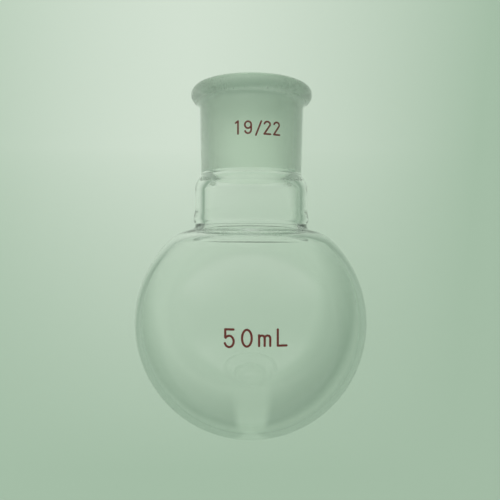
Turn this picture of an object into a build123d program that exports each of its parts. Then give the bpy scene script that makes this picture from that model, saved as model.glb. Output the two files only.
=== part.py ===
"""Round-bottom flask of blown borosilicate glass, 50 mL, with one ground 19/22 socket.

The flask is one piece of glass: a bulb, a short neck and a socket with a bead round its mouth.
Its wall is one closed profile, turned about the flask's own axis and then laid down.
Sizes are millimetres, +Z is up. The round bulb can't stand, so the flask lies as it comes
to rest, on the bulb and on the bead. The mouth points to +Y and dips a little.
The origin is on the floor, under the middle of the flask.
"""
import os
from math import asin, atan2, cos, degrees, hypot, radians, sin, sqrt

from build123d import *

# Bulb
BULB_OD = 51.0
BULB_WALL = 1.4
SHOULDER_RADIUS = 9.0     # the tighter bend that draws the bulb in to the neck
SHOULDER_ANGLE = 46.5     # degrees from the axis, seen from the bulb's centre, where that bend begins

# Neck, with a soft swell where it is fused to the bulb
NECK_STEP = 1.3           # how far the neck stands out from the socket above it
NECK_LENGTH = 8.8
NECK_WALL = 2.1
SWELL_STAND = 0.35        # how much further the neck stands out below the swell
SWELL_RISE = 2.4          # the swell's own height
SWELL_TOP = 3.8           # where it begins, above the bulb
SEAL_FILLET = 1.0         # outside, where the neck is fused to the bulb
SEAL_FLARE = 2.5          # inside, where the bore opens into the bulb

# Ground socket, size 19/22: the ground cone is 18.8 wide at the mouth and tapers 1 in 10
CONE_MOUTH = 18.8
CONE_LENGTH = 19.5
CONE_TAPER = 0.1
SOCKET_LENGTH = 19.8      # from the step to the mouth
SOCKET_WALL_MOUTH = 2.2
SOCKET_WALL_BASE = 2.775
STEP_RADIUS = 4.35        # outside, the rounded step from the neck up to the socket
STEP_FILLET = 0.6         # the hollow above that step
LEDGE_ANGLE = 35.0        # degrees from the axis, inside, where the cone ends and the bore widens
LEDGE_EDGE = 1.5
LEDGE_HOLLOW = 2.5

# Bead round the mouth
BEAD_THICKNESS = 3.6
BEAD_STAND = 1.9          # how far the bead stands out from the socket
BEAD_FILLET = 1.8
MOUTH_LIP = 0.7           # the rounded inner edge of the mouth


def polar(centre, radius, angle):
    """A point of the profile's half plane: x is the distance from the axis, y the height."""
    return centre + Vector(radius * cos(radians(angle)), radius * sin(radians(angle)))


def short_arc(centre, start, end):
    """The arc about a centre from start to end, the short way round."""
    middle = (start + end) * 0.5 - centre
    return ThreePointArc(start, centre + middle.normalized() * (start - centre).length, end)


def blend(foot, tip, centre, radius, fillet, above):
    """Round the hollow between the line foot-tip and a circle, with the blend on the line's right.

    Returns the blend's centre and its touching points on the line and on the circle.
    """
    along = (tip - foot).normalized()
    right = Vector(along.Y, -along.X)
    offset = foot + right * fillet - centre
    middle = offset.dot(along)
    reach = sqrt(middle ** 2 - offset.dot(offset) + (radius + fillet) ** 2)
    travel = -middle + (reach if above else -reach)
    blend_centre = foot + right * fillet + along * travel
    on_circle = centre + (blend_centre - centre).normalized() * radius
    return blend_centre, foot + along * travel, on_circle


# Heights are measured along the axis from the bulb's centre
bulb_radius = BULB_OD / 2
bulb_centre = Vector(0, 0)
shoulder_start = polar(bulb_centre, bulb_radius, 90 - SHOULDER_ANGLE)
shoulder_centre = polar(bulb_centre, bulb_radius - SHOULDER_RADIUS, 90 - SHOULDER_ANGLE)

cone_end_radius = (CONE_MOUTH - CONE_LENGTH * CONE_TAPER) / 2
socket_base_radius = cone_end_radius + SOCKET_WALL_BASE
socket_mouth_radius = CONE_MOUTH / 2 + SOCKET_WALL_MOUTH
neck_top_radius = socket_base_radius + NECK_STEP
neck_base_radius = neck_top_radius + SWELL_STAND

# The neck starts where its wall would cut the shoulder
neck_base = shoulder_centre.Y + sqrt(SHOULDER_RADIUS ** 2 - (neck_base_radius - shoulder_centre.X) ** 2)
neck_top = neck_base + NECK_LENGTH
step_rise = sqrt(STEP_RADIUS ** 2 - (STEP_RADIUS - NECK_STEP) ** 2)
socket_base = neck_top + step_rise
mouth = socket_base + SOCKET_LENGTH
cone_end = mouth - CONE_LENGTH

bead_tube = BEAD_THICKNESS / 2
bead_centre = Vector(socket_mouth_radius + BEAD_STAND - bead_tube, mouth - bead_tube)


def outside():
    """Draw the outer line from the bottom of the bulb up and over the bead."""
    bottom = Vector(0, -bulb_radius)
    wall_foot = Vector(neck_base_radius, neck_base)
    wall_top = Vector(neck_top_radius, neck_top)
    swell_top = Vector(neck_top_radius, neck_base + SWELL_TOP)
    swell_foot = Vector(neck_base_radius, neck_base + SWELL_TOP - SWELL_RISE)
    swell_radius = SWELL_RISE / (2 * sin(2 * atan2(SWELL_STAND, SWELL_RISE)))
    swell_middle = (swell_top + swell_foot) * 0.5
    seal_centre, seal_top, seal_foot = blend(
        wall_foot, swell_foot, shoulder_centre, SHOULDER_RADIUS, SEAL_FILLET, above=True)
    short_arc(bulb_centre, bottom, shoulder_start)
    short_arc(shoulder_centre, shoulder_start, seal_foot)
    short_arc(seal_centre, seal_foot, seal_top)
    Line(seal_top, swell_foot)
    short_arc(swell_foot - Vector(swell_radius, 0), swell_foot, swell_middle)
    short_arc(swell_top + Vector(swell_radius, 0), swell_middle, swell_top)
    Line(swell_top, wall_top)

    socket_foot = Vector(socket_base_radius, socket_base)
    socket_top = Vector(socket_mouth_radius, mouth)
    step_centre = Vector(neck_top_radius - STEP_RADIUS, neck_top)
    hollow_centre, hollow_top, hollow_foot = blend(
        socket_foot, socket_top, step_centre, STEP_RADIUS, STEP_FILLET, above=True)
    short_arc(step_centre, wall_top, hollow_foot)
    short_arc(hollow_centre, hollow_foot, hollow_top)

    under_centre, under_foot, under_bead = blend(
        socket_foot, socket_top, bead_centre, bead_tube, BEAD_FILLET, above=False)
    bead_outermost = polar(bead_centre, bead_tube, 0)
    bead_top = polar(bead_centre, bead_tube, 90)
    Line(hollow_top, under_foot)
    short_arc(under_centre, under_foot, under_bead)
    short_arc(bead_centre, under_bead, bead_outermost)
    short_arc(bead_centre, bead_outermost, bead_top)
    return bead_top


def inside(bead_top):
    """Draw the inner line from the bead over the lip and down to the bottom of the bulb."""
    cone_mouth = Vector(CONE_MOUTH / 2, mouth)
    cone_foot = Vector(cone_end_radius, cone_end)
    bore_radius = neck_top_radius - NECK_WALL
    ledge_drop = (bore_radius - cone_end_radius) / sin(radians(LEDGE_ANGLE)) * cos(radians(LEDGE_ANGLE))
    bore_top = Vector(bore_radius, cone_end - ledge_drop)
    bore_base = Vector(bore_radius, neck_base)
    inner_shoulder = SHOULDER_RADIUS - BULB_WALL
    inner_bulb = bulb_radius - BULB_WALL
    flare_centre, flare_top, flare_foot = blend(
        bore_base, bore_top, shoulder_centre, inner_shoulder, SEAL_FLARE, above=True)
    inner_shoulder_start = polar(shoulder_centre, inner_shoulder, 90 - SHOULDER_ANGLE)
    FilletPolyline(
        bead_top, cone_mouth, cone_foot, bore_top, flare_top,
        radius=[MOUTH_LIP, LEDGE_EDGE, LEDGE_HOLLOW])
    short_arc(flare_centre, flare_top, flare_foot)
    short_arc(shoulder_centre, flare_foot, inner_shoulder_start)
    bottom = Vector(0, -inner_bulb)
    short_arc(bulb_centre, inner_shoulder_start, bottom)
    return bottom


def make_flask():
    """Turn the wall's profile about the flask's axis, standing upright on the bulb's centre."""
    with BuildPart() as flask:
        with BuildSketch(Plane.XZ):
            with BuildLine():
                bead_top = outside()
                inner_bottom = inside(bead_top)
                Line(inner_bottom, Vector(0, -bulb_radius))
            make_face()
        revolve(axis=Axis.Z, revolution_arc=360)
    return flask.part


def lay_down(flask):
    """Lay the flask so that the bulb and the bead both touch the floor."""
    reach = hypot(bead_centre.X, bead_centre.Y)
    lift = atan2(bead_centre.X, bead_centre.Y)
    dip = degrees(asin((bulb_radius - bead_tube) / reach) - lift)
    far_end = bead_centre.Y * cos(radians(dip)) + bead_centre.X * sin(radians(dip)) + bead_tube
    middle = (far_end - bulb_radius) / 2
    return Pos(0, -middle, bulb_radius) * Rot(-(90 + dip), 0, 0) * flask


os.makedirs("parts", exist_ok=True)
export_step(lay_down(make_flask()), "parts/flask.step")
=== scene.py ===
"""A 50 mL round-bottom flask lying on a pale floor: its glass, its fired size marks and the studio.

Lengths are metres. The flask's profile is drawn in its own half plane, where x is the distance
from the axis and y the height along the axis from the bulb's centre, and it is then laid down.
"""
from math import acos, asin, atan2, ceil, cos, degrees, hypot, pi, radians, sin, sqrt, tan

import bpy
from mathutils import Matrix, Vector


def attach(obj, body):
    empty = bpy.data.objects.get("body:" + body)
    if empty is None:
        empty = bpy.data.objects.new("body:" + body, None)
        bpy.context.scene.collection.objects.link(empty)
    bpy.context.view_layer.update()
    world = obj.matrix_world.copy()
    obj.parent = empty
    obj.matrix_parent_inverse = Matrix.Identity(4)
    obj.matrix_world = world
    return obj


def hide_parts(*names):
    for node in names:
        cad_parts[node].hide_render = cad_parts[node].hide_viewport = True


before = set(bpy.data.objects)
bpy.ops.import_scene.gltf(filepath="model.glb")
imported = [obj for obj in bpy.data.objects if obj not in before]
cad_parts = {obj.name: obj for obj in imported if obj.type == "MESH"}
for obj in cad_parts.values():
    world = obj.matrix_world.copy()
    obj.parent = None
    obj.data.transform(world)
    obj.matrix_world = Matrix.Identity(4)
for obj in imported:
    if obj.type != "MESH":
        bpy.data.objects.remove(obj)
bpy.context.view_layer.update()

MM = 0.001
TINY = 1e-7               # what is nearer than this counts as the same point

# Bulb
BULB_OD = 51.0 * MM
BULB_WALL = 1.4 * MM
SHOULDER_RADIUS = 9.0 * MM
SHOULDER_ANGLE = 46.5     # degrees from the axis, where the tighter bend to the neck begins

# Neck
NECK_STEP = 1.3 * MM      # how far the neck stands out from the socket above it
NECK_LENGTH = 8.8 * MM
NECK_WALL = 2.1 * MM
SWELL_STAND = 0.35 * MM   # how much wider it is where its line meets the shoulder
RING_STAND = 0.3 * MM     # the soft ring round its lower end
RING_TOP = 4.6 * MM       # above the neck's base
RING_RISE = 2.4 * MM
GROOVE_DEPTH = 0.05 * MM  # the groove between the ring and the bulb
GROOVE_RISE = 1.3 * MM
SEAL_FILLET = 1.0 * MM    # outside, where the neck is fused to the bulb
SEAL_FLARE = 2.5 * MM     # inside, where the bore opens into the bulb

# Ground socket, size 19/22
CONE_MOUTH = 18.8 * MM
CONE_LENGTH = 19.5 * MM
CONE_TAPER = 0.1
GROUND_LENGTH = 18.9 * MM  # how far down from the mouth the cone is ground
SOCKET_LENGTH = 19.8 * MM  # from the step to the mouth
SOCKET_WALL_MOUTH = 2.2 * MM
SOCKET_WALL_BASE = 2.775 * MM
STEP_RADIUS = 4.35 * MM   # outside, the rounded step from the neck up to the socket
STEP_FILLET = 0.6 * MM
LEDGE_ANGLE = 35.0        # degrees from the axis, inside, where the bore widens below the cone
LEDGE_EDGE = 1.5 * MM
LEDGE_HOLLOW = 2.5 * MM

# Bead round the mouth
BEAD_THICKNESS = 3.6 * MM
BEAD_STAND = 1.9 * MM     # how far the bead stands out from the socket
BEAD_FILLET = 1.8 * MM
MOUTH_LIP = 0.7 * MM

# How finely the glass is cut
SEGMENTS = 192
ARC_STEP = 4.0            # degrees of an arc for each face
BULB_STEP = 1.5

# Glass. A relief is its pattern's scale and the depth of its bumps
GLASS_IOR = 1.473
CLEAR_COLOUR = (0.985, 0.995, 0.985, 1)
CLEAR_ROUGHNESS = 0.0
CLEAR_RELIEF = (60.0, 0.01 * MM)
GROUND_COLOUR = (0.86, 0.94, 0.86, 1)
GROUND_ROUGHNESS = 0.55
GROUND_RELIEF = (9000.0, 0.04 * MM)
SHADOW_COLOUR = (0.985, 0.99, 0.985, 1)

# Fired size marks, raised off the glass. A stroke's flat part is a share of its width
MARK_SUNK = 0.01 * MM
MARK_EDGE = 0.012 * MM
MARK_TOP = 0.03 * MM
MARK_FLAT = 0.6
ROUND_END = (0.35, 0.6, 0.8, 0.92, 0.98)
STROKE_STEP = 0.12 * MM
OVAL_STEP = 7.0           # degrees
FEWEST_STEPS = 6

# The mark on the bulb and the mark on the socket: their figures and where each one starts
VOLUME_CAP = 2.93 * MM
VOLUME_BASELINE = -1.47 * MM
VOLUME_STROKE = 0.42 * MM
VOLUME_FIGURES = (("5", -4.615 * MM), ("0", -1.565 * MM), ("m", 1.515 * MM), ("L", 4.90 * MM))
SOCKET_CAP = 2.58 * MM
SOCKET_BASELINE = 39.66 * MM
SOCKET_STROKE = 0.36 * MM
SOCKET_FIGURES = (("1", -2.80 * MM), ("9", -0.72 * MM), ("/", 0.90 * MM), ("2", 2.63 * MM), ("2", 4.75 * MM))

# Camera, which looks straight down on the flask's axis from very near
CAMERA_DISTANCE = 130.0 * MM
CAMERA_AIM = 15.83 * MM   # where on the axis it aims, above the bulb's centre
CAMERA_SIDE = -0.2 * MM
CAMERA_ROLL = 0.25        # degrees
CAMERA_CLIP = 1.0 * MM
SENSOR = 36.0
FOCAL_SHARE = 1.16        # focal length as a share of the picture's width

# Light paths, enough for the many walls of glass that a ray meets
BOUNCES = 24
GLOSSY_BOUNCES = 8


def srgb(red, green, blue):
    """A display colour, 0 to 255, as the shader's linear colour."""
    def linear(value):
        share = value / 255
        return share / 12.92 if share <= 0.04045 else ((share + 0.055) / 1.055) ** 2.4
    return linear(red), linear(green), linear(blue), 1.0


# Enamel
ENAMEL_DARK = srgb(72, 26, 22)
ENAMEL_PALE = srgb(112, 52, 44)
ENAMEL_ROUGHNESS = 0.5
MOTTLE_SCALE = 2500.0
GRAIN_SCALE = 9000.0
GRAIN_DEPTH = 0.01 * MM
GRAIN_STRENGTH = 0.4

# Floor, with a pool of light painted into its colour: painted darker and greener away from the pool
FLOOR_SIZE = 1.2
POOL_COLOUR = srgb(209, 219, 208)
POOL_FALLOFF_COLOUR = srgb(166, 187, 168)
POOL_SIDE = -15 * MM      # where the pool's middle lies to the side
POOL_HALF_WIDTH = 72 * MM
POOL_FALL_ACROSS = 1.5    # how steeply the light falls off, to the side and along
POOL_TOP = 22 * MM        # from here towards the bulb's end the light falls off
POOL_REACH = 92 * MM
POOL_FALL_ALONG = 0.7

# Painted shade on the floor that only the glass shows: past an oval round the bulb, the floor seen through
# the glass is painted dimmer
THROUGH_GLASS_SHADE_COLOUR = srgb(128, 149, 132)
WINDOW_SIDE = -5 * MM     # the oval's middle, to the side
WINDOW_EDGE = 24 * MM     # where the painted shade starts, to the side
WINDOW_SOFTNESS = 14 * MM
WINDOW_FRONT = 0.65       # distances towards the mouth and away from it count as these shares
WINDOW_BACK = 0.75
BEYOND_EDGE = 39 * MM     # further out the painted shade is weaker again
BEYOND_SOFTNESS = 6 * MM
BEYOND_SHARE = 0.5
GAP_SIDE = 0.6 * MM       # a strip behind the bulb without the painted shade
GAP_HALF_WIDTH = 4 * MM
GAP_SOFTNESS = 2.5 * MM
GAP_START = 24 * MM

# Lamp
LAMP_PLACE = (-0.25, 0.35, 1.2)
LAMP_SIZE = 1.0
LAMP_POWER = 11.2

# World: a dim room with one bright wall. Heights and sides are sines, seen from the flask
ROOM = srgb(140, 158, 144)
ROOM_BEHIND = srgb(70, 84, 74)
HORIZON = srgb(160, 181, 162)
WALL = srgb(238, 248, 238)
BACKDROP = srgb(190, 206, 192)
AMBIENT = srgb(178, 186, 178)
ROOM_RISE = 0.45
ROOM_TURN = -0.1
ROOM_SOFTNESS = 0.6
WALL_RISE = 0.12
WALL_TOP = 0.80
WALL_EDGE = 0.6
WALL_SIDE = 0.35
WALL_SOFTNESS = 0.3


def polar(centre, radius, angle):
    """A point of the profile's half plane."""
    return centre + radius * Vector((cos(radians(angle)), sin(radians(angle))))


def blend(foot, tip, centre, radius, fillet, above):
    """Round the hollow between the line foot-tip and a circle, with the blend on the line's right.

    Returns the blend's centre and its touching points on the line and on the circle.
    """
    along = (tip - foot).normalized()
    right = Vector((along.y, -along.x))
    offset = foot + right * fillet - centre
    middle = offset.dot(along)
    reach = sqrt(middle ** 2 - offset.dot(offset) + (radius + fillet) ** 2)
    travel = -middle + (reach if above else -reach)
    blend_centre = foot + right * fillet + along * travel
    on_circle = centre + (blend_centre - centre).normalized() * radius
    return blend_centre, foot + along * travel, on_circle


def corner(before, point, after, radius):
    """Round a corner of the profile. Returns the arc's centre and its two ends."""
    back = (before - point).normalized()
    on = (after - point).normalized()
    half = acos(max(-1.0, min(1.0, back.dot(on)))) / 2
    run = radius / tan(half)
    centre = point + (back + on).normalized() * radius / sin(half)
    return centre, point + back * run, point + on * run


# Heights are measured along the axis from the bulb's centre
bulb_radius = BULB_OD / 2
origin = Vector((0, 0))
shoulder_start = polar(origin, bulb_radius, 90 - SHOULDER_ANGLE)
shoulder_centre = polar(origin, bulb_radius - SHOULDER_RADIUS, 90 - SHOULDER_ANGLE)
cone_end_radius = (CONE_MOUTH - CONE_LENGTH * CONE_TAPER) / 2
socket_base_radius = cone_end_radius + SOCKET_WALL_BASE
socket_mouth_radius = CONE_MOUTH / 2 + SOCKET_WALL_MOUTH
neck_top_radius = socket_base_radius + NECK_STEP
neck_base_radius = neck_top_radius + SWELL_STAND
neck_base = shoulder_centre.y + sqrt(SHOULDER_RADIUS ** 2 - (neck_base_radius - shoulder_centre.x) ** 2)
neck_top = neck_base + NECK_LENGTH
socket_base = neck_top + sqrt(STEP_RADIUS ** 2 - (STEP_RADIUS - NECK_STEP) ** 2)
mouth = socket_base + SOCKET_LENGTH
cone_end = mouth - CONE_LENGTH
bead_tube = BEAD_THICKNESS / 2
bead_centre = Vector((socket_mouth_radius + BEAD_STAND - bead_tube, mouth - bead_tube))

# The flask lies on the bulb and on the bead, with its middle over the origin
reach = hypot(bead_centre.x, bead_centre.y)
dip = asin((bulb_radius - bead_tube) / reach) - atan2(bead_centre.x, bead_centre.y)
far_end = bead_centre.y * cos(dip) + bead_centre.x * sin(dip) + bead_tube
AXIS = Vector((0, cos(dip), -sin(dip)))
UP = Vector((0, sin(dip), cos(dip)))
SIDE = Vector((1, 0, 0))
BULB_CENTRE = Vector((0, (bulb_radius - far_end) / 2, bulb_radius))


def direction(side, height, out):
    """A direction given to the side, along the axis and up from the axis."""
    return SIDE * side + AXIS * height + UP * out


def place(side, height, out):
    """A point given from the bulb's centre: to the side, along the axis and up from the axis."""
    return BULB_CENTRE + direction(side, height, out)


class Profile:
    """The closed wall's line as a chain of arcs, each point with the direction out of the glass.

    Each point also has whether the stretch from it to the next point is ground.
    """

    def __init__(self):
        self.points = []
        self.normals = []
        self.ground = []

    def arc(self, centre, start, end, step=ARC_STEP, ground=False):
        """Add the short arc from start to end. ground: it and the stretch after it are ground."""
        first = atan2(start.y - centre.y, start.x - centre.x)
        last = atan2(end.y - centre.y, end.x - centre.x)
        sweep = (last - first + pi) % (2 * pi) - pi
        radius = (start - centre).length
        count = max(2, ceil(abs(degrees(sweep)) / step))
        outward = 1 if sweep > 0 else -1
        for i in range(count + 1):
            angle = first + sweep * i / count
            radial = Vector((cos(angle), sin(angle)))
            self.points.append(centre + radial * radius)
            self.normals.append(radial * outward)
            self.ground.append(ground)

    def end_of_ground(self, point):
        """Go straight on to a point, where the ground stretch ends."""
        self.points.append(point)
        self.normals.append(self.normals[-1])
        self.ground.append(False)


def add_s_bend(wall, low, high):
    """Lead the line from low to high, straight along the axis at both ends, by two equal arcs."""
    across = high.x - low.x
    rise = high.y - low.y
    radius = rise / (2 * sin(2 * atan2(abs(across), rise)))
    aside = Vector((radius if across > 0 else -radius, 0))
    middle = (low + high) / 2
    wall.arc(low + aside, low, middle)
    wall.arc(high - aside, middle, high)


def add_outside(wall):
    """Add the outer line from the bottom of the bulb up and over the bead. Returns its end."""
    neck_end = Vector((neck_top_radius, neck_top))
    ring_top = Vector((neck_top_radius, neck_base + RING_TOP))
    ring = Vector((neck_top_radius + RING_STAND, ring_top.y - RING_RISE))
    groove = Vector((neck_top_radius - GROOVE_DEPTH, ring.y - GROOVE_RISE))
    seal_centre, seal_top, seal_foot = blend(
        Vector((groove.x, neck_base)), groove, shoulder_centre, SHOULDER_RADIUS, SEAL_FILLET, above=True)
    wall.arc(origin, Vector((0, -bulb_radius)), shoulder_start, BULB_STEP)
    wall.arc(shoulder_centre, shoulder_start, seal_foot, BULB_STEP)
    wall.arc(seal_centre, seal_foot, seal_top)
    add_s_bend(wall, groove, ring)
    add_s_bend(wall, ring, ring_top)

    socket_foot = Vector((socket_base_radius, socket_base))
    socket_top = Vector((socket_mouth_radius, mouth))
    step_centre = Vector((neck_top_radius - STEP_RADIUS, neck_top))
    hollow_centre, hollow_top, hollow_foot = blend(
        socket_foot, socket_top, step_centre, STEP_RADIUS, STEP_FILLET, above=True)
    wall.arc(step_centre, neck_end, hollow_foot)
    wall.arc(hollow_centre, hollow_foot, hollow_top)

    under_centre, under_foot, under_bead = blend(
        socket_foot, socket_top, bead_centre, bead_tube, BEAD_FILLET, above=False)
    bead_top = polar(bead_centre, bead_tube, 90)
    wall.arc(under_centre, under_foot, under_bead)
    wall.arc(bead_centre, under_bead, bead_top)
    return bead_top


def add_inside(wall, bead_top):
    """Add the inner line from the bead over the lip and down to the bottom of the bulb.

    The flat end, the lip and most of the cone are ground.
    """
    bore_radius = neck_top_radius - NECK_WALL
    ledge_drop = (bore_radius - cone_end_radius) / tan(radians(LEDGE_ANGLE))
    cone_top = Vector((CONE_MOUTH / 2, mouth))
    cone_foot = Vector((cone_end_radius, cone_end))
    bore_top = Vector((bore_radius, cone_end - ledge_drop))
    bore_base = Vector((bore_radius, neck_base))
    inner_shoulder = SHOULDER_RADIUS - BULB_WALL
    inner_start = polar(shoulder_centre, inner_shoulder, 90 - SHOULDER_ANGLE)
    flare_centre, flare_top, flare_foot = blend(
        bore_base, bore_top, shoulder_centre, inner_shoulder, SEAL_FLARE, above=True)
    wall.ground[-1] = True
    wall.arc(*corner(bead_top, cone_top, cone_foot, MOUTH_LIP), ground=True)
    wall.end_of_ground(cone_top + (cone_foot - cone_top).normalized() * GROUND_LENGTH)
    wall.arc(*corner(cone_top, cone_foot, bore_top, LEDGE_EDGE))
    wall.arc(*corner(cone_foot, bore_top, flare_top, LEDGE_HOLLOW))
    wall.arc(flare_centre, flare_top, flare_foot)
    wall.arc(shoulder_centre, flare_foot, inner_start, BULB_STEP)
    wall.arc(origin, inner_start, Vector((0, BULB_WALL - bulb_radius)), BULB_STEP)


def add(tree, kind, inputs=(), **settings):
    """Add a shader node, set its options, and fill its inputs with values or links."""
    made = tree.nodes.new(kind)
    for name, value in settings.items():
        setattr(made, name, value)
    for name, value in dict(inputs).items():
        if isinstance(value, bpy.types.NodeSocket):
            tree.links.new(value, made.inputs[name])
        else:
            made.inputs[name].default_value = value
    return made


def calculate(tree, operation, first, second=0.0, clamp=False):
    """A Math node's result."""
    return add(tree, "ShaderNodeMath", {0: first, 1: second}, operation=operation, use_clamp=clamp).outputs[0]


def ramp(tree, value, start, width):
    """0 up to the start, then rising to 1 over the width. A negative width rises the other way."""
    return calculate(tree, "DIVIDE", calculate(tree, "SUBTRACT", value, start), width, True)


def away_from(tree, value, middle):
    """How far a value is from the middle."""
    return calculate(tree, "ABSOLUTE", calculate(tree, "SUBTRACT", value, middle))


def mix_colours(tree, factor, first, second):
    """A colour between two."""
    made = add(tree, "ShaderNodeMix", {"Factor": factor}, data_type="RGBA")
    for socket, colour in ((made.inputs[6], first), (made.inputs[7], second)):
        if isinstance(colour, bpy.types.NodeSocket):
            tree.links.new(colour, socket)
        else:
            socket.default_value = colour
    return made.outputs[2]


def new_material(name):
    """An empty node material. Returns it with its tree and its output node."""
    material = bpy.data.materials.new(name)
    material.use_nodes = True
    tree = material.node_tree
    tree.nodes.clear()
    return material, tree, add(tree, "ShaderNodeOutputMaterial")


def add_mesh(name, vertices, faces, materials):
    """An object in the scene, made of these faces."""
    mesh = bpy.data.meshes.new(name)
    mesh.from_pydata(vertices, [], faces)
    for material in materials:
        mesh.materials.append(material)
    made = bpy.data.objects.new(name, mesh)
    bpy.context.collection.objects.link(made)
    return made


def glass_material(name, colour, roughness, relief):
    """Glass that lets the lamps' light through."""
    material, tree, output = new_material(name)
    place_in = add(tree, "ShaderNodeTexCoord").outputs["Object"]
    scale, distance = relief
    pattern = add(tree, "ShaderNodeTexNoise", {"Vector": place_in, "Scale": scale, "Detail": 2.0})
    bump = add(tree, "ShaderNodeBump", {
        "Height": pattern.outputs["Fac"], "Strength": 1.0, "Distance": distance})
    glass = add(tree, "ShaderNodeBsdfPrincipled", {
        "Base Color": colour, "Roughness": roughness, "IOR": GLASS_IOR, "Transmission Weight": 1.0,
        "Normal": bump.outputs["Normal"]})
    path = add(tree, "ShaderNodeLightPath")
    lamp_ray = calculate(tree, "MAXIMUM", path.outputs["Is Shadow Ray"], path.outputs["Is Diffuse Ray"])
    through = add(tree, "ShaderNodeBsdfTransparent", {"Color": SHADOW_COLOUR})
    mixed = add(tree, "ShaderNodeMixShader", {0: lamp_ray, 1: glass.outputs[0], 2: through.outputs[0]})
    tree.links.new(mixed.outputs[0], output.inputs["Surface"])
    return material


def make_flask():
    """Turn the wall's profile round the axis, with exact normals, clear and ground."""
    wall = Profile()
    add_inside(wall, add_outside(wall))
    vertices = []
    normals = []
    rings = []
    for point, normal in zip(wall.points, wall.normals):
        count = 1 if abs(point.x) < TINY else SEGMENTS
        rings.append(range(len(vertices), len(vertices) + count))
        for i in range(count):
            turn = 2 * pi * i / SEGMENTS
            vertices.append(place(point.x * sin(turn), point.y, point.x * cos(turn)))
            normals.append(direction(normal.x * sin(turn), normal.y, normal.x * cos(turn)))
    faces = []
    ground = []
    for k, (low, high) in enumerate(zip(rings, rings[1:])):
        if (wall.points[k] - wall.points[k + 1]).length < TINY:
            continue
        for i in range(SEGMENTS):
            j = (i + 1) % SEGMENTS
            if len(low) == 1:
                face = (low[0], high[j], high[i])
            elif len(high) == 1:
                face = (low[i], low[j], high[0])
            else:
                face = (low[i], low[j], high[j], high[i])
            faces.append(face)
            ground.append(wall.ground[k])
    flask = add_mesh("flask_glass", vertices, faces, (
        glass_material("clear_glass", CLEAR_COLOUR, CLEAR_ROUGHNESS, CLEAR_RELIEF),
        glass_material("ground_glass", GROUND_COLOUR, GROUND_ROUGHNESS, GROUND_RELIEF)))
    for polygon, is_ground in zip(flask.data.polygons, ground):
        polygon.material_index = int(is_ground)
        polygon.use_smooth = True
    flask.data.normals_split_custom_set_from_vertices(normals)
    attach(flask, "root")
    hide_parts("flask")
    return flask


def oval(centre, radii, first, last):
    """Points of an oval's arc, from one angle to another."""
    count = max(FEWEST_STEPS, round(abs(last - first) / OVAL_STEP))
    turns = (radians(first + (last - first) * i / count) for i in range(count + 1))
    return [(centre[0] + radii[0] * cos(a), centre[1] + radii[1] * sin(a)) for a in turns]


# Each figure's lines, in cap heights from its foot
FIGURES = {
    "0": [oval((0.297, 0.475), (0.297, 0.515), 90, -270)],
    "1": [[(0, 0), (0, 1)], [(0, 1), (-0.2, 0.86)]],
    "2": [oval((0.254, 0.78), (0.235, 0.205), 170, -30) + [(0, 0)], [(0, 0), (0.52, 0)]],
    "5": [[(0.51, 1), (0, 1)], [(0, 1), (0, 0.51)], oval((0.245, 0.26), (0.28, 0.35), 140, -161)],
    "9": [oval((0, 0.70), (0.254, 0.27), 90, -270),
          [(0.254, 0.70)] + oval((0, 0.336), (0.254, 0.31), 0, -155)],
    "/": [[(0, -0.11), (0.43, 1)]],
    "L": [[(0, 1), (0, 0)], [(0, 0), (0.55, 0)]],
    "m": [[(0, 0), (0, 0.66)], [(0.344, 0)] + oval((0.172, 0.47), (0.172, 0.17), 0, 180),
          [(0.688, 0)] + oval((0.516, 0.47), (0.172, 0.17), 0, 180)],
}


def on_bulb(side, height, lift):
    """A point of the bulb's skin, to the side and along the axis, lifted off the glass."""
    out = sqrt(bulb_radius ** 2 - side ** 2 - height ** 2)
    grow = (bulb_radius + lift) / bulb_radius
    return place(side * grow, height * grow, out * grow)


def on_socket(side, height, lift):
    """A point of the socket's skin, with the side measured round it."""
    share = (height - socket_base) / SOCKET_LENGTH
    radius = socket_base_radius + (socket_mouth_radius - socket_base_radius) * share
    turn = side / radius
    return place((radius + lift) * sin(turn), height, (radius + lift) * cos(turn))


def spaced(points, step):
    """The same line with points at an even, small distance."""
    runs = [0.0]
    for a, b in zip(points, points[1:]):
        runs.append(runs[-1] + (b - a).length)
    count = max(4, ceil(runs[-1] / step))
    made = []
    k = 0
    for i in range(count + 1):
        run = runs[-1] * i / count
        while k < len(points) - 2 and runs[k + 1] < run:
            k += 1
        made.append(points[k].lerp(points[k + 1], (run - runs[k]) / (runs[k + 1] - runs[k])))
    return made


def add_stroke(vertices, faces, points, half, skin):
    """A raised ribbon along a line on the glass, with round ends, or closed where the line is."""
    closed = (points[0] - points[-1]).length < STROKE_STEP / 10
    line = spaced(points, STROKE_STEP)
    if closed:
        line.pop()
        behind, ahead = line[-1:] + line[:-1], line[1:] + line[:1]
    else:
        behind, ahead = line[:1] + line[:-1], line[1:] + line[-1:]
    ways = [(b - a).normalized() for a, b in zip(behind, ahead)]
    stations = [(point, way, half) for point, way in zip(line, ways)]
    if not closed:
        start = [(line[0] - ways[0] * half * e, ways[0], half * sqrt(1 - e * e)) for e in reversed(ROUND_END)]
        finish = [(line[-1] + ways[-1] * half * e, ways[-1], half * sqrt(1 - e * e)) for e in ROUND_END]
        stations = start + stations + finish
    section = ((-1, -MARK_SUNK), (-1, MARK_EDGE), (-MARK_FLAT, MARK_TOP),
               (MARK_FLAT, MARK_TOP), (1, MARK_EDGE), (1, -MARK_SUNK))
    first = len(vertices)
    for point, way, width in stations:
        across = Vector((way.y, -way.x))
        for share, lift in section:
            at = point + across * width * share
            vertices.append(skin(at.x, at.y, lift))
    size = len(section)
    count = len(stations)
    for k in range(count if closed else count - 1):
        low = first + k * size
        high = first + (k + 1) % count * size
        for i in range(size):
            j = (i + 1) % size
            faces.append((low + i, high + i, high + j, low + j))
    if not closed:
        faces.append(tuple(first + i for i in range(size)))
        faces.append(tuple(first + (count - 1) * size + i for i in reversed(range(size))))


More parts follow.
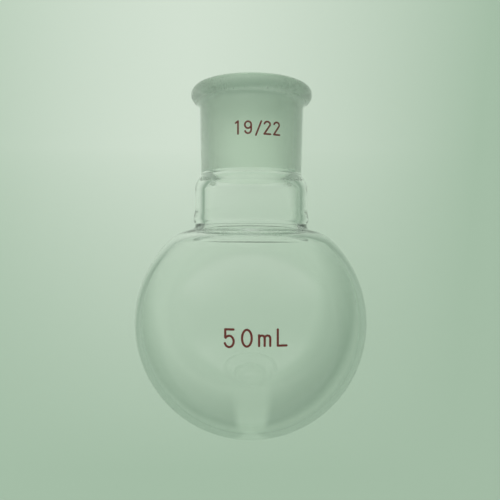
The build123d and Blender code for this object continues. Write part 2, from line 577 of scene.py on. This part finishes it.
def enamel_material():
    """Fired red-brown enamel, thin and a little uneven."""
    material, tree, output = new_material("fired_enamel")
    place_in = add(tree, "ShaderNodeTexCoord").outputs["Object"]
    mottle = add(tree, "ShaderNodeTexNoise", {"Vector": place_in, "Scale": MOTTLE_SCALE, "Detail": 4.0})
    grain = add(tree, "ShaderNodeTexNoise", {"Vector": place_in, "Scale": GRAIN_SCALE, "Detail": 2.0})
    colour = mix_colours(tree, mottle.outputs["Fac"], ENAMEL_DARK, ENAMEL_PALE)
    bump = add(tree, "ShaderNodeBump", {
        "Height": grain.outputs["Fac"], "Strength": GRAIN_STRENGTH, "Distance": GRAIN_DEPTH})
    paint = add(tree, "ShaderNodeBsdfPrincipled", {
        "Base Color": colour, "Roughness": ENAMEL_ROUGHNESS, "Normal": bump.outputs["Normal"]})
    tree.links.new(paint.outputs[0], output.inputs["Surface"])
    return material


def make_mark(name, figures, cap, baseline, stroke, skin, material):
    """One size mark, fired onto the glass."""
    vertices = []
    faces = []
    for figure, start in figures:
        for points in FIGURES[figure]:
            line = [Vector((start + u * cap, baseline + v * cap)) for u, v in points]
            add_stroke(vertices, faces, line, stroke / 2, skin)
    mark = add_mesh(name, vertices, faces, (material,))
    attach(mark, "root")
    return mark


def painted_light_pool(tree, side, along):
    """The floor's colour with a painted pool of light: palest in the pool, painted darker away from it."""
    across = calculate(tree, "DIVIDE", away_from(tree, side, POOL_SIDE), POOL_HALF_WIDTH, True)
    across = calculate(tree, "POWER", across, POOL_FALL_ACROSS)
    down = calculate(tree, "POWER", ramp(tree, along, POOL_TOP, -POOL_REACH), POOL_FALL_ALONG)
    left = calculate(
        tree, "MULTIPLY", calculate(tree, "SUBTRACT", 1.0, across), calculate(tree, "SUBTRACT", 1.0, down))
    return mix_colours(tree, left, POOL_FALLOFF_COLOUR, POOL_COLOUR)


def painted_shade_through_glass(tree, side, along):
    """How much painted shade the floor gets where light bent by the glass meets it, by its distance from the
    bulb.
    """
    ahead = calculate(tree, "SUBTRACT", along, BULB_CENTRE.y)
    front = calculate(tree, "MULTIPLY", calculate(tree, "MAXIMUM", ahead, 0.0), WINDOW_FRONT)
    back = calculate(tree, "MULTIPLY", calculate(tree, "MINIMUM", ahead, 0.0), WINDOW_BACK)
    length = calculate(tree, "ABSOLUTE", calculate(tree, "ADD", front, back))
    aside = away_from(tree, side, WINDOW_SIDE)
    distance = calculate(tree, "SQRT", calculate(
        tree, "ADD", calculate(tree, "POWER", aside, 2.0), calculate(tree, "POWER", length, 2.0)))
    past = ramp(tree, distance, WINDOW_EDGE, WINDOW_SOFTNESS)
    beyond = ramp(tree, distance, BEYOND_EDGE, BEYOND_SOFTNESS)
    band = calculate(tree, "SUBTRACT", past, calculate(tree, "MULTIPLY", beyond, BEYOND_SHARE))
    beside_gap = ramp(tree, away_from(tree, side, GAP_SIDE), GAP_HALF_WIDTH, GAP_SOFTNESS)
    before_gap = ramp(tree, ahead, -GAP_START, GAP_SOFTNESS)
    return calculate(tree, "MULTIPLY", band, calculate(tree, "MAXIMUM", beside_gap, before_gap))


def floor_material():
    """A pale matt floor with the light's pool painted in, and painted shade on it where it is seen through
    the glass.
    """
    material, tree, output = new_material("pale_floor")
    where = add(tree, "ShaderNodeSeparateXYZ", {0: add(tree, "ShaderNodeNewGeometry").outputs["Position"]})
    side = where.outputs["X"]
    along = where.outputs["Y"]
    bent = add(tree, "ShaderNodeLightPath").outputs["Is Transmission Ray"]
    # Painted shade, shown only where the floor is seen through the glass
    dim = calculate(tree, "MULTIPLY", painted_shade_through_glass(tree, side, along), bent)
    # The painted pool of light, with the painted shade laid over it
    colour = mix_colours(tree, dim, painted_light_pool(tree, side, along), THROUGH_GLASS_SHADE_COLOUR)
    matt = add(tree, "ShaderNodeBsdfDiffuse", {"Color": colour})
    tree.links.new(matt.outputs[0], output.inputs["Surface"])
    return material


def make_floor():
    """A large flat floor under the flask."""
    half = FLOOR_SIZE / 2
    corners = [(-half, -half, 0), (half, -half, 0), (half, half, 0), (-half, half, 0)]
    floor = add_mesh("floor", corners, [(0, 1, 2, 3)], (floor_material(),))


def make_lamp():
    """A square soft lamp overhead that faces the flask and isn't seen in the glass."""
    data = bpy.data.lights.new("overhead_lamp", "AREA")
    data.shape = "SQUARE"
    data.size = LAMP_SIZE
    data.energy = LAMP_POWER
    lamp = bpy.data.objects.new("overhead_lamp", data)
    bpy.context.collection.objects.link(lamp)
    lamp.location = LAMP_PLACE
    lamp.rotation_euler = (-Vector(LAMP_PLACE)).to_track_quat("-Z", "Y").to_euler()
    lamp.visible_glossy = False
    lamp.visible_transmission = False


def make_world():
    """The room round the flask, by direction. The camera sees a plain backdrop."""
    world = bpy.data.worlds.new("studio")
    bpy.context.scene.world = world
    world.use_nodes = True
    tree = world.node_tree
    tree.nodes.clear()
    path = add(tree, "ShaderNodeLightPath")
    heading = add(tree, "ShaderNodeSeparateXYZ", {0: add(tree, "ShaderNodeTexCoord").outputs["Generated"]})
    forward = heading.outputs["Y"]
    height = heading.outputs["Z"]
    overhead = mix_colours(tree, ramp(tree, forward, ROOM_TURN, -ROOM_SOFTNESS), ROOM, ROOM_BEHIND)
    room = mix_colours(tree, ramp(tree, height, 0.0, ROOM_RISE), HORIZON, overhead)
    facing = ramp(tree, forward, WALL_SIDE, WALL_SOFTNESS)
    under = ramp(tree, height, WALL_TOP, -WALL_EDGE)
    above = ramp(tree, height, 0.0, WALL_RISE)
    on_wall = calculate(tree, "MULTIPLY", facing, calculate(tree, "MULTIPLY", under, above))
    surroundings = mix_colours(tree, on_wall, room, WALL)
    seen = mix_colours(tree, path.outputs["Is Camera Ray"], surroundings, BACKDROP)
    shown = mix_colours(tree, path.outputs["Is Diffuse Ray"], seen, AMBIENT)
    light = add(tree, "ShaderNodeBackground", {"Color": shown, "Strength": 1.0})
    tree.links.new(light.outputs[0], add(tree, "ShaderNodeOutputWorld").inputs["Surface"])


def make_camera():
    """A camera near the flask, square on to its axis."""
    data = bpy.data.cameras.new("camera")
    data.sensor_width = SENSOR
    data.lens = SENSOR * FOCAL_SHARE
    data.clip_start = CAMERA_CLIP
    camera = bpy.data.objects.new("camera", data)
    bpy.context.collection.objects.link(camera)
    basis = Matrix.Rotation(radians(CAMERA_ROLL), 3, UP) @ Matrix((SIDE, AXIS, UP)).transposed()
    eye = place(CAMERA_SIDE, CAMERA_AIM, CAMERA_DISTANCE)
    camera.matrix_world = Matrix.Translation(eye) @ basis.to_4x4()
    bpy.context.scene.camera = camera


make_flask()
enamel = enamel_material()
make_mark("mark_volume", VOLUME_FIGURES, VOLUME_CAP, VOLUME_BASELINE, VOLUME_STROKE, on_bulb, enamel)
make_mark("mark_socket", SOCKET_FIGURES, SOCKET_CAP, SOCKET_BASELINE, SOCKET_STROKE, on_socket, enamel)
make_floor()
make_lamp()
make_world()
make_camera()

scene = bpy.context.scene
scene.view_settings.view_transform = "Standard"
scene.cycles.max_bounces = BOUNCES
scene.cycles.transmission_bounces = BOUNCES
scene.cycles.glossy_bounces = GLOSSY_BOUNCES
scene.cycles.transparent_max_bounces = BOUNCES
scene.cycles.caustics_reflective = False
scene.cycles.caustics_refractive = False
